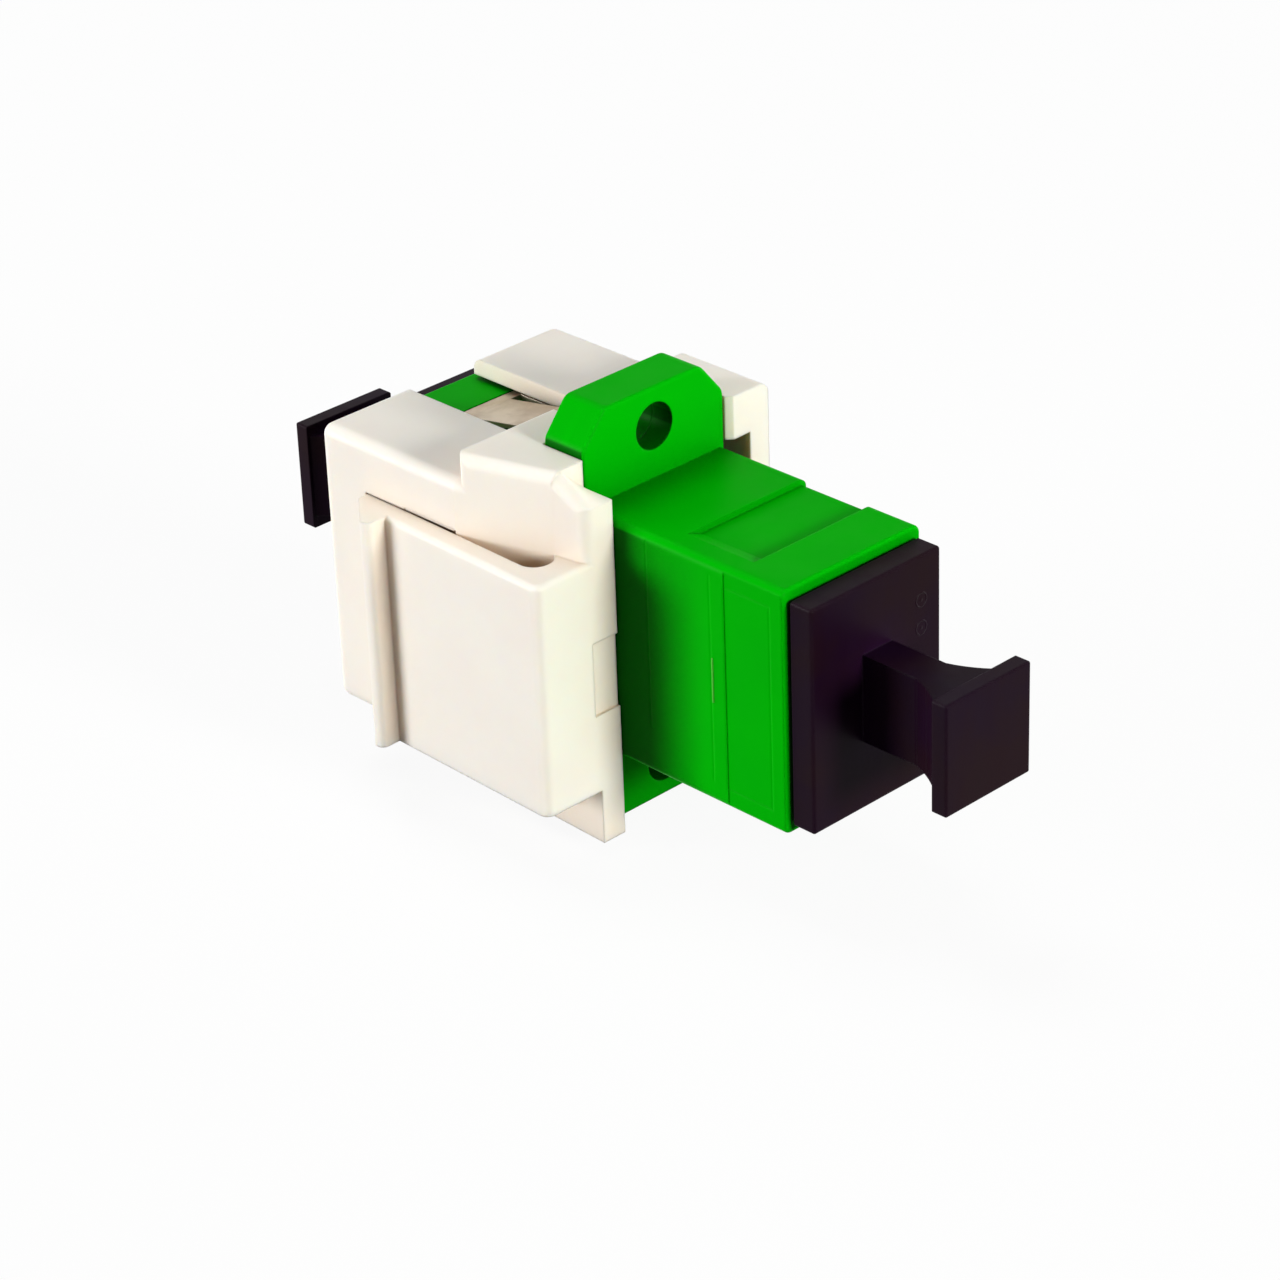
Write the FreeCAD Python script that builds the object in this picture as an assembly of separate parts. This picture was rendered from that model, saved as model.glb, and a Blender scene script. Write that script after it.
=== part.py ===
# A simplex fibre adapter with its two dust caps, held in an ivory snap-in carrier.
#
# Frame: the origin is on the adapter's axis, in the front face of its flange and
# so at the centre of the two flange holes. +X points along the axis to the front
# port, +Y to the carrier's fixed side and +Z up through the upper flange ear.
# Every length is in millimetres.

import os
import math

import FreeCAD
import Part

# ---------------------------------------------------------------- named sizes

# Clearances and overlaps.
SLIP_GAP = 0.05           # between pieces that slide or drop into one another
SHEET_GAP = 0.03          # between the clip and the recess floor
OVERCUT = 1.0             # how far a cutting tool runs past a face
ROOT = 0.2                # how far a form runs into the one that it grows from
TOUCH = 0.01              # an edge this near a plane lies in it

# Adapter flange, made of two equal halves.
FLANGE_THICK = 2.66
FLANGE_HALF_WIDTH = 4.65
FLANGE_HOLE_PITCH = 18.0
FLANGE_HOLE_R = 1.2
FLANGE_EAR_END = 2.0      # from a hole's centre to the end of its ear
FLANGE_SHOULDER_DROP = 1.75
FLANGE_TOP_HALF_WIDTH = 3.2
FLANGE_CORNER_R = 0.7
FLANGE_RIM_R = 0.16

# Adapter barrel. Both halves are the same moulding, one the mirror of the other.
BODY_LENGTH = 12.64       # from the flange face to the port mouth
BODY_HALF_WIDTH = 4.65
BODY_HALF_HEIGHT = 6.35
BODY_EDGE_R = 0.45
BODY_RIM_R = 0.18
STAGE_LENGTH = 5.37       # flange face to the clip recess
RECESS_LENGTH = 4.27
RECESS_DEPTH = 0.30
RECESS_START = 1.35       # from the left side to where the recess begins
RECESS_RAMP = 0.9
NOSE_START = 8.95         # where the side faces step in a little
NOSE_STEP = 0.05
PORT_HALF_WIDTH = 3.75
PORT_HALF_HEIGHT = 4.55
PORT_LEAD = 0.25
KEYWAY_HALF_WIDTH = 1.3
KEYWAY_LENGTH = 5.0

# Inner latch inserts.
INSERT_PLATE = 1.5
TUBE_WALL = 0.65
TUBE_END_LIP = 0.5
TUBE_MOUTH_R = 1.35
HOOK_HALF_WIDTH = 1.5
HOOK_THICK = 0.7
HOOK_INSET = 0.35         # from the plate's edge to the hook's back
HOOK_REACH = 9.4          # from the middle plane to the hook's tip
HOOK_BARB = 0.6
HOOK_BARB_LENGTH = 1.3
HOOK_BARB_FLAT = 0.52
HOOK_NOSE = 0.4           # thickness left at the very tip

# Split alignment sleeve.
SLEEVE_LENGTH = 11.4
SLEEVE_OUTER_R = 1.6
SLEEVE_WALL = 0.35
SLEEVE_SLIT = 0.4

# Dust caps.
CAP_GAP = 0.23            # from the front port's mouth to the cover plate's back
REAR_CAP_GAP = 0.05       # the same at the rear, where the cap is pushed right in
CAP_HOOK_GAP = 0.41       # from the plug's end to the latch hooks
CAP_PLUG_WALL = 0.8
CAP_PLUG_CHAMFER = 0.3
CAP_PLATE_HALF_WIDTH = 4.32
CAP_PLATE_HALF_HEIGHT = 5.84
CAP_PLATE_THICK = 1.3
CAP_PLATE_EDGE_R = 0.15
STEM_HALF_WIDTH = 1.0
STEM_HALF_HEIGHT = 2.26
STEM_LENGTH = 3.3         # from the cover plate to where the stem starts to flare
FLARE_LENGTH = 2.6
FLARE_END_HALF_WIDTH = 2.65
FLARE_BOW = 0.2
TAB_THICK = 0.86
TAB_HALF_WIDTH = 2.86
TAB_HALF_HEIGHT = 2.88
TAB_EDGE_R = 0.12

# Panel clip, pressed from thin sheet.
CLIP_THICK = 0.25
CLIP_SIDE_GAP = 0.06
CLIP_TOP_START = 2.35     # from the barrel's left side to the clip's free edge
CLIP_BEND_R = 0.3
TONGUE_BASE = 0.6         # strip of band left behind the tongue's root
TONGUE_TIP_GAP = 0.3
TONGUE_HALF_WIDTH = 1.4
TONGUE_SLIT = 0.7
TONGUE_RISE = 1.15

# Carrier shell, set out from the barrel's sides and its top.
SHELL_LEFT_GAP = 1.65
SHELL_LEFT_WALL = 2.0
SHELL_RIGHT_GAP = 1.45
SHELL_RIGHT_WALL = 1.3
SHELL_ROOF_GAP = 0.25
SHELL_ROOF_THICK = 0.9
SHELL_REAR_LENGTH = 9.65  # from the rear edge to the bands
SHELL_RIGHT_LEDGE = 0.3   # how far the right half runs past the flange face
SHELL_EDGE_R = 0.6
NOSE_REACH = 1.9          # how far the nose runs past the flange face
NOSE_WALL = 1.85          # barrel side to the nose's outer side, at its front
NECK_WALL = 2.1           # the same, beside the flange
NOSE_CORNER_R = 0.7
NOSE_TOP_R = 0.55
WINDOW_LEAD = 0.3         # slope beside the flange, on the right post
SLOT_LEFT_WIDTH = 2.8     # slot edges above the clip, from the axis
SLOT_RIGHT_WIDTH = 1.85

# Raised bands above and below the adapter.
BAND_THICK = 2.44         # behind the flange
BAND_RISE = 1.38
BAND_EDGE_R = 0.6
SCREW_RELIEF_R = 1.7
RAMP_PEAK_INSET = 0.65    # from the band's outer side to the ramp's crest
RAMP_PEAK_DROP = 0.1
RAMP_SIDE_DROP = 0.65

# Sprung latch arm on the left side, with its catch rib at the free end.
ARM_LENGTH = 13.3         # from the nose's front to the free end
ARM_TOP_Z = 4.75
ARM_REAR_GAP = 1.04       # from the set-back wall to the arm
ARM_FRONT_GAP = 1.75      # from the neck to the arm, at the slot's end
ARM_REAR_THICK = 1.16
ARM_FRONT_THICK = 1.2
ARM_SLOT_BOW = 0.72
ARM_SLOT_SLANT = 0.45
ARM_CORNER_R = 0.5
ARM_EDGE_R = 0.3
ARM_WALL_SET_BACK = 1.1   # wall behind the arm, set back so that it can flex
ARM_WALL_RUN_OUT = 1.2
ARM_END_GAP = 0.15
ARM_TOP_GAP = 0.15        # over the arm, where its slot is open
ARM_COVER = 2.8           # length of the free end that reaches in under the wall
ARM_ROOT_INSET = 1.1
RIB_WIDTH = 2.45
RIB_SLOPE = 1.9
RIB_HEIGHT = 1.1
RIB_SHOULDER = 1.6
RIB_CREST_R = 0.35
INSET_WIDTH = 1.6
INSET_TOP_Z = 0.5
INSET_BOTTOM_Z = -3.4
INSET_DEPTH = 0.15

# Lower tab beside the lower flange ear, and the fixed lug on the right side.
LOWER_TAB_WIDTH = 1.4
LOWER_TAB_SHORT = 0.6     # from the ear's end up to the tab's end
LOWER_TAB_SLANT = 0.2
LUG_LENGTH = 3.2
LUG_START = 1.7           # from the bands' front to the lug
LUG_SLOPE = 1.0
LUG_REACH = 1.0
LUG_HALF_HEIGHT = 5.0

# ------------------------------------------------------------- derived sizes

MIDDLE_X = -FLANGE_THICK / 2.0
HOLE_Z = FLANGE_HOLE_PITCH / 2.0
FLANGE_HALF_HEIGHT = HOLE_Z + FLANGE_EAR_END
FLANGE_SHOULDER_Z = FLANGE_HALF_HEIGHT - FLANGE_SHOULDER_DROP
TUBE_INNER_R = SLEEVE_OUTER_R + SLIP_GAP
TUBE_OUTER_R = TUBE_INNER_R + TUBE_WALL
SLEEVE_SEAT_X = MIDDLE_X + SLEEVE_LENGTH / 2.0 + SLIP_GAP
TUBE_END_X = SLEEVE_SEAT_X + TUBE_END_LIP
RECESS_END_X = STAGE_LENGTH + RECESS_LENGTH
RECESS_FLOOR_Z = BODY_HALF_HEIGHT - RECESS_DEPTH
RECESS_FLOOR_Y = BODY_HALF_WIDTH - RECESS_DEPTH
PLUG_HALF_WIDTH = PORT_HALF_WIDTH - SLIP_GAP
PLUG_HALF_HEIGHT = PORT_HALF_HEIGHT - SLIP_GAP
HOOK_TIP_X = MIDDLE_X + HOOK_REACH
CAP_REAR_X = BODY_LENGTH + CAP_GAP
CAP_FRONT_X = CAP_REAR_X + CAP_PLATE_THICK
TAB_REAR_X = CAP_FRONT_X + STEM_LENGTH + FLARE_LENGTH

WINDOW_HALF_WIDTH = BODY_HALF_WIDTH + SLIP_GAP
WINDOW_HALF_HEIGHT = BODY_HALF_HEIGHT + SLIP_GAP
FLANGE_SEAT_X = -FLANGE_THICK - SHEET_GAP
SHELL_ROOF_Z = BODY_HALF_HEIGHT + SHELL_ROOF_GAP
SHELL_HALF_HEIGHT = SHELL_ROOF_Z + SHELL_ROOF_THICK
SHELL_LEFT_INNER_Y = -BODY_HALF_WIDTH - SHELL_LEFT_GAP
SHELL_LEFT_Y = SHELL_LEFT_INNER_Y - SHELL_LEFT_WALL
SHELL_RIGHT_INNER_Y = BODY_HALF_WIDTH + SHELL_RIGHT_GAP
SHELL_RIGHT_Y = SHELL_RIGHT_INNER_Y + SHELL_RIGHT_WALL
NECK_LEFT_Y = -BODY_HALF_WIDTH - NECK_WALL
NOSE_LEFT_Y = -BODY_HALF_WIDTH - NOSE_WALL
BAND_REAR_X = -FLANGE_THICK - BAND_THICK
BAND_HALF_HEIGHT = SHELL_HALF_HEIGHT + BAND_RISE
SHELL_REAR_X = BAND_REAR_X - SHELL_REAR_LENGTH

RIB_REAR_X = NOSE_REACH - ARM_LENGTH
ARM_REAR_X = RIB_REAR_X + RIB_WIDTH
RIB_CREST_X = RIB_REAR_X + RIB_SLOPE
ARM_WALL_Y = SHELL_LEFT_Y + ARM_WALL_SET_BACK
ARM_INNER_REAR_Y = ARM_WALL_Y - ARM_REAR_GAP
ARM_INNER_FRONT_Y = NECK_LEFT_Y - ARM_FRONT_GAP
ARM_REAR_Y = ARM_INNER_REAR_Y - ARM_REAR_THICK
ARM_FRONT_Y = ARM_INNER_FRONT_Y - ARM_FRONT_THICK
RIB_CREST_Y = ARM_REAR_Y - RIB_HEIGHT
RIB_SHOULDER_Y = RIB_CREST_Y + RIB_SHOULDER

# ------------------------------------------------------------------- helpers

ANYWHERE = (-math.inf, math.inf)
ALONG_X = FreeCAD.Vector(1, 0, 0)


def near(level):
    """The narrow range that holds whatever lies at one level."""
    return (level - TOUCH, level + TOUCH)


def from_level(level):
    """The range that begins at a level."""
    return (level - TOUCH, math.inf)


def up_to(level):
    """The range that ends at a level."""
    return (-math.inf, level + TOUCH)


def edges_where(shape, x=ANYWHERE, y=ANYWHERE, z=ANYWHERE):
    """The edges of shape that lie wholly inside the given ranges."""
    found = []
    for edge in shape.Edges:
        room = edge.BoundBox
        along = x[0] <= room.XMin and room.XMax <= x[1]
        across = y[0] <= room.YMin and room.YMax <= y[1]
        upright = z[0] <= room.ZMin and room.ZMax <= z[1]
        if along and across and upright:
            found.append(edge)
    return found


def long_edges(shape, axis, least):
    """The straight edges of shape that run along axis for at least a length."""
    found = []
    for edge in shape.Edges:
        if len(edge.Vertexes) != 2:
            continue
        run = edge.Vertexes[1].Point - edge.Vertexes[0].Point
        if abs(run.dot(axis)) >= least and abs(run.Length - abs(run.dot(axis))) < TOUCH:
            found.append(edge)
    return found


def span(x0, x1, y0, y1, z0, z1):
    """A box given by its limits along each axis."""
    corner = FreeCAD.Vector(x0, y0, z0)
    return Part.makeBox(x1 - x0, y1 - y0, z1 - z0, corner)


def prism(points, direction):
    """A solid swept along direction from a closed run of corner points."""
    vectors = [FreeCAD.Vector(*point) for point in points]
    wire = Part.makePolygon(vectors + [vectors[0]])
    return Part.Face(wire).extrude(FreeCAD.Vector(*direction))


def plan_prism(points, z0, z1):
    """A plan outline in X and Y, swept from z0 to z1."""
    return prism([(x, y, z0) for x, y in points], (0, 0, z1 - z0))


def side_prism(points, y0, y1):
    """A side outline in X and Z, swept from y0 to y1."""
    return prism([(x, y0, z) for x, z in points], (0, y1 - y0, 0))


def end_prism(points, x0, x1):
    """An end outline in Y and Z, swept from x0 to x1."""
    return prism([(x0, y, z) for y, z in points], (x1 - x0, 0, 0))


def rod(radius, x0, x1, z=0.0):
    """A round bar along X at height z."""
    return Part.makeCylinder(radius, x1 - x0, FreeCAD.Vector(x0, 0, z), ALONG_X)


def line_edge(start, end):
    """A straight edge between two plan points."""
    return Part.makeLine(FreeCAD.Vector(*start, 0), FreeCAD.Vector(*end, 0))


def bowed_edge(start, end, bow):
    """An arc between two plan points that stands off their chord by bow, to its left."""
    first = FreeCAD.Vector(*start, 0)
    last = FreeCAD.Vector(*end, 0)
    chord = last - first
    left = FreeCAD.Vector(-chord.y, chord.x, 0)
    middle = (first + last) * 0.5 + left * (bow / chord.Length)
    return Part.Arc(first, middle, last).toShape()


def mirrored(shape):
    """The same shape on the other side of the adapter's middle plane."""
    return shape.mirror(FreeCAD.Vector(MIDDLE_X, 0, 0), ALONG_X)


def both_ends(shape):
    """The shape together with its copy turned over top to bottom."""
    copy = shape.mirror(FreeCAD.Vector(0, 0, 0), FreeCAD.Vector(0, 0, 1))
    return shape.fuse(copy)


# ------------------------------------------------------------------ sub-parts

def flange_blank(x0, x1):
    """The two-eared flange outline with softened shoulders."""
    w = FLANGE_HALF_WIDTH
    h = FLANGE_HALF_HEIGHT
    t = FLANGE_TOP_HALF_WIDTH
    s = FLANGE_SHOULDER_Z
    outline = [(-w, -s), (-t, -h), (t, -h), (w, -s), (w, s), (t, h), (-t, h), (-w, s)]
    blank = end_prism(outline, x0, x1)
    corners = long_edges(blank, ALONG_X, 0.5 * (x1 - x0))
    return blank.makeFillet(FLANGE_CORNER_R, corners)


def clip_recess():
    """What is cut for the clip: over the top, down the right side and underneath."""
    start_y = -BODY_HALF_WIDTH + RECESS_START
    outer_y = BODY_HALF_WIDTH + OVERCUT
    outer_z = BODY_HALF_HEIGHT + OVERCUT
    top_cut = end_prism([(start_y, BODY_HALF_HEIGHT),
                         (start_y + RECESS_RAMP, RECESS_FLOOR_Z),
                         (outer_y, RECESS_FLOOR_Z),
                         (outer_y, outer_z),
                         (start_y, outer_z)],
                        STAGE_LENGTH, RECESS_END_X)
    side_cut = span(STAGE_LENGTH, RECESS_END_X, RECESS_FLOOR_Y, outer_y, -outer_z, outer_z)
    return both_ends(top_cut).fuse(side_cut)


def front_housing():
    """The front half of the adapter: half the flange and the front barrel."""
    barrel = span(MIDDLE_X, BODY_LENGTH, -BODY_HALF_WIDTH, BODY_HALF_WIDTH,
                  -BODY_HALF_HEIGHT, BODY_HALF_HEIGHT)
    barrel = barrel.makeFillet(BODY_EDGE_R, long_edges(barrel, ALONG_X, BODY_LENGTH))
    barrel = barrel.makeFillet(BODY_RIM_R, edges_where(barrel, x=near(BODY_LENGTH)))
    flange = flange_blank(MIDDLE_X, 0.0)
    flange = flange.makeFillet(FLANGE_RIM_R, edges_where(flange, x=near(0.0)))
    body = barrel.fuse(flange).cut(clip_recess())
    # Side faces step in slightly towards the mouth.
    for side in (-1, 1):
        step_y = side * (BODY_HALF_WIDTH - NOSE_STEP)
        outer_y = side * (BODY_HALF_WIDTH + OVERCUT)
        outer_z = BODY_HALF_HEIGHT + OVERCUT
        body = body.cut(span(NOSE_START, BODY_LENGTH + OVERCUT, min(step_y, outer_y),
                             max(step_y, outer_y), -outer_z, outer_z))
    # The port runs right through; its mouth has a small lead-in.
    body = body.cut(span(MIDDLE_X - OVERCUT, BODY_LENGTH + OVERCUT, -PORT_HALF_WIDTH,
                         PORT_HALF_WIDTH, -PORT_HALF_HEIGHT, PORT_HALF_HEIGHT))
    mouth = edges_where(body, near(BODY_LENGTH),
                        (-PORT_HALF_WIDTH - TOUCH, PORT_HALF_WIDTH + TOUCH),
                        (-PORT_HALF_HEIGHT - TOUCH, PORT_HALF_HEIGHT + TOUCH))
    body = body.makeChamfer(PORT_LEAD, mouth)
    # Keyway through the right wall.
    body = body.cut(span(BODY_LENGTH - KEYWAY_LENGTH, BODY_LENGTH + OVERCUT,
                         PORT_HALF_WIDTH - OVERCUT, BODY_HALF_WIDTH + OVERCUT,
                         -KEYWAY_HALF_WIDTH, KEYWAY_HALF_WIDTH))
    for hole_z in (-HOLE_Z, HOLE_Z):
        body = body.cut(rod(FLANGE_HOLE_R, MIDDLE_X - OVERCUT, OVERCUT, hole_z))
    return body


def front_latch_insert():
    """Sleeve holder plate with its tube and the two connector latch hooks."""
    plate = span(MIDDLE_X, MIDDLE_X + INSERT_PLATE, -PLUG_HALF_WIDTH, PLUG_HALF_WIDTH,
                 -PLUG_HALF_HEIGHT, PLUG_HALF_HEIGHT)
    insert = plate.fuse(rod(TUBE_OUTER_R, MIDDLE_X, TUBE_END_X))
    outer_z = PLUG_HALF_HEIGHT - HOOK_INSET
    inner_z = outer_z - HOOK_THICK
    barb_x = HOOK_TIP_X - HOOK_BARB_LENGTH
    hook = side_prism([(MIDDLE_X + ROOT, inner_z),
                       (barb_x, inner_z),
                       (barb_x, inner_z - HOOK_BARB),
                       (barb_x + HOOK_BARB_FLAT, inner_z - HOOK_BARB),
                       (HOOK_TIP_X, outer_z - HOOK_NOSE),
                       (HOOK_TIP_X, outer_z),
                       (MIDDLE_X + ROOT, outer_z)],
                      -HOOK_HALF_WIDTH, HOOK_HALF_WIDTH)
    insert = insert.fuse(both_ends(hook))
    insert = insert.cut(rod(TUBE_INNER_R, MIDDLE_X - OVERCUT, SLEEVE_SEAT_X))
    return insert.cut(rod(TUBE_MOUTH_R, MIDDLE_X, TUBE_END_X + OVERCUT))


def alignment_sleeve():
    """Split ceramic tube that lines up the two ferrules."""
    start = MIDDLE_X - SLEEVE_LENGTH / 2.0
    end = MIDDLE_X + SLEEVE_LENGTH / 2.0
    bore = rod(SLEEVE_OUTER_R - SLEEVE_WALL, start - OVERCUT, end + OVERCUT)
    ring = rod(SLEEVE_OUTER_R, start, end).cut(bore)
    slit = span(start - OVERCUT, end + OVERCUT, -SLEEVE_SLIT / 2.0, SLEEVE_SLIT / 2.0,
                0.0, SLEEVE_OUTER_R + OVERCUT)
    return ring.cut(slit)


def cap_plate(x0, x1, half_width, half_height, edge_r):
    """A plate across the axis, rounded at its corners and all round its front."""
    plate = span(x0, x1, -half_width, half_width, -half_height, half_height)
    soft = long_edges(plate, ALONG_X, x1 - x0 - TOUCH) + edges_where(plate, x=near(x1))
    return plate.makeFillet(edge_r, soft)


def cap_plug():
    """The hollow plug that fills the port as far as the latch hooks."""
    nose_x = HOOK_TIP_X + CAP_HOOK_GAP
    plug = span(nose_x, CAP_REAR_X + ROOT, -PLUG_HALF_WIDTH, PLUG_HALF_WIDTH,
                -PLUG_HALF_HEIGHT, PLUG_HALF_HEIGHT)
    plug = plug.makeChamfer(CAP_PLUG_CHAMFER, edges_where(plug, x=near(nose_x)))
    hollow_y = PLUG_HALF_WIDTH - CAP_PLUG_WALL
    hollow_z = PLUG_HALF_HEIGHT - CAP_PLUG_WALL
    return plug.cut(span(nose_x - OVERCUT, CAP_REAR_X, -hollow_y, hollow_y,
                         -hollow_z, hollow_z))


def cap_stem():
    """The flat stem that flares on both sides into the pull tab."""
    root_x = CAP_FRONT_X - ROOT
    flare_x = TAB_REAR_X - FLARE_LENGTH
    wide_x = TAB_REAR_X + ROOT
    w = STEM_HALF_WIDTH
    e = FLARE_END_HALF_WIDTH
    edges = [line_edge((root_x, w), (root_x, -w)),
             line_edge((root_x, -w), (flare_x, -w)),
             bowed_edge((flare_x, -w), (TAB_REAR_X, -e), FLARE_BOW),
             line_edge((TAB_REAR_X, -e), (wide_x, -e)),
             line_edge((wide_x, -e), (wide_x, e)),
             line_edge((wide_x, e), (TAB_REAR_X, e)),
             bowed_edge((TAB_REAR_X, e), (flare_x, w), FLARE_BOW),
             line_edge((flare_x, w), (root_x, w))]
    face = Part.Face(Part.Wire(edges))
    stem = face.extrude(FreeCAD.Vector(0, 0, 2.0 * STEM_HALF_HEIGHT))
    stem.translate(FreeCAD.Vector(0, 0, -STEM_HALF_HEIGHT))
    return stem


def front_dust_cap():
    """Push-in cap: hollow plug, cover plate, flared stem and pull tab."""
    plate = cap_plate(CAP_REAR_X, CAP_FRONT_X, CAP_PLATE_HALF_WIDTH,
                      CAP_PLATE_HALF_HEIGHT, CAP_PLATE_EDGE_R)
    tab = cap_plate(TAB_REAR_X, TAB_REAR_X + TAB_THICK, TAB_HALF_WIDTH,
                    TAB_HALF_HEIGHT, TAB_EDGE_R)
    return plate.fuse(cap_plug()).fuse(cap_stem()).fuse(tab)


def panel_clip():
    """Sprung clip of thin sheet, let into the rear barrel, with two tongues."""
    rear = -FLANGE_THICK - RECESS_END_X + CLIP_SIDE_GAP
    front = -FLANGE_THICK - STAGE_LENGTH - CLIP_SIDE_GAP
    left = -BODY_HALF_WIDTH + CLIP_TOP_START
    inner_y = RECESS_FLOOR_Y + SHEET_GAP
    inner_z = RECESS_FLOOR_Z + SHEET_GAP
    outer_y = inner_y + CLIP_THICK
    outer_z = inner_z + CLIP_THICK
    band = span(rear, front, left, outer_y, -outer_z, outer_z)
    bends = edges_where(band, y=near(outer_y), z=from_level(outer_z))
    bends += edges_where(band, y=near(outer_y), z=up_to(-outer_z))
    band = band.makeFillet(CLIP_BEND_R, bends)
    band = band.cut(span(rear - OVERCUT, front + OVERCUT, left - OVERCUT, inner_y,
                         -inner_z, inner_z))
    # Each tongue stands free of the band on both sides and rises to its tip.
    root_x = rear + TONGUE_BASE
    tip_x = BAND_REAR_X - TONGUE_TIP_GAP
    free_y = TONGUE_HALF_WIDTH + TONGUE_SLIT
    freeing = span(root_x, front + OVERCUT, -free_y, free_y, inner_z - ROOT,
                   outer_z + OVERCUT)
    band = band.cut(both_ends(freeing))
    tongue = side_prism([(root_x - ROOT, inner_z),
                         (root_x, inner_z),
                         (tip_x, inner_z + TONGUE_RISE),
                         (tip_x, outer_z + TONGUE_RISE),
                         (root_x, outer_z),
                         (root_x - ROOT, outer_z)],
                        -TONGUE_HALF_WIDTH, TONGUE_HALF_WIDTH)
    return band.fuse(both_ends(tongue))


def carrier_shell():
    """The outer block of the carrier, its left wall drawn in towards the nose."""
    h = SHELL_HALF_HEIGHT
    plan = [(SHELL_REAR_X, SHELL_LEFT_Y),
            (BAND_REAR_X, SHELL_LEFT_Y),
            (0.0, NECK_LEFT_Y),
            (NOSE_REACH, NOSE_LEFT_Y),
            (NOSE_REACH, 0.0),
            (SHELL_RIGHT_LEDGE, 0.0),
            (SHELL_RIGHT_LEDGE, SHELL_RIGHT_Y),
            (SHELL_REAR_X, SHELL_RIGHT_Y)]
    shell = plan_prism(plan, -h, h)
    nose_edge = edges_where(shell, x=near(NOSE_REACH), y=near(NOSE_LEFT_Y))
    shell = shell.makeFillet(NOSE_CORNER_R, nose_edge)
    soft = edges_where(shell, x=near(SHELL_REAR_X))
    for level in (-h, h):
        soft += edges_where(shell, x=up_to(0.0), y=up_to(NECK_LEFT_Y), z=near(level))
        soft += edges_where(shell, y=near(SHELL_RIGHT_Y), z=near(level))
    return shell.makeFillet(SHELL_EDGE_R, soft)


def carrier_band():
    """The raised band that crosses behind the flange, above and below."""
    h = BAND_HALF_HEIGHT
    plan = [(BAND_REAR_X, SHELL_LEFT_Y),
            (0.0, NECK_LEFT_Y),
            (0.0, 0.0),
            (SHELL_RIGHT_LEDGE, 0.0),
            (SHELL_RIGHT_LEDGE, SHELL_RIGHT_Y),
            (BAND_REAR_X, SHELL_RIGHT_Y)]
    band = plan_prism(plan, -h, h)
    soft = edges_where(band, x=near(BAND_REAR_X), y=near(SHELL_LEFT_Y))
    soft += edges_where(band, x=near(BAND_REAR_X), y=near(SHELL_RIGHT_Y))
    for level in (-h, h):
        soft += edges_where(band, y=up_to(NECK_LEFT_Y), z=near(level))
        soft += edges_where(band, y=near(SHELL_RIGHT_Y), z=near(level))
    return band.makeFillet(BAND_EDGE_R, soft)


def ramp_section(x, base_z, inner_z, crest, side):
    """A closed section across the nose, its outer top corner rounded off."""
    inner_y = -WINDOW_HALF_WIDTH
    bulge = FreeCAD.Vector(x, side[0], crest[1])
    first = FreeCAD.Vector(x, *crest)
    last = FreeCAD.Vector(x, *side)
    middle = (first + last) * 0.5
    shoulder = middle + (bulge - middle) * (math.sqrt(2.0) - 1.0)
    base_outer = FreeCAD.Vector(x, side[0], base_z)
    base_inner = FreeCAD.Vector(x, inner_y, base_z)
    top_inner = FreeCAD.Vector(x, inner_y, inner_z)
    return Part.Wire([Part.makeLine(base_outer, base_inner),
                      Part.makeLine(base_inner, top_inner),
                      Part.makeLine(top_inner, first),
                      Part.Arc(first, shoulder, last).toShape(),
                      Part.makeLine(last, base_outer)])


def nose_ramp(base_z):
    """The nose's top: it falls from the band's crest to the front, soft on its left."""
    low = SHELL_HALF_HEIGHT
    high = BAND_HALF_HEIGHT
    at_band = ramp_section(0.0, base_z, low,
                           (NECK_LEFT_Y + RAMP_PEAK_INSET, high - RAMP_PEAK_DROP),
                           (NECK_LEFT_Y, high - RAMP_SIDE_DROP))
    at_nose = ramp_section(NOSE_REACH, base_z, low,
                           (NOSE_LEFT_Y + NOSE_TOP_R, low),
                           (NOSE_LEFT_Y, low - NOSE_TOP_R))
    ramp = Part.makeLoft([at_band, at_nose], True, True)
    # The same plan as the shell's nose, with its rounded corner.
    plan = [(0.0, -WINDOW_HALF_WIDTH), (0.0, NECK_LEFT_Y),
            (NOSE_REACH, NOSE_LEFT_Y), (NOSE_REACH, -WINDOW_HALF_WIDTH)]
    block = plan_prism(plan, base_z, high)
    corner = edges_where(block, near(NOSE_REACH), near(NOSE_LEFT_Y))
    return ramp.common(block.makeFillet(NOSE_CORNER_R, corner))


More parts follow.
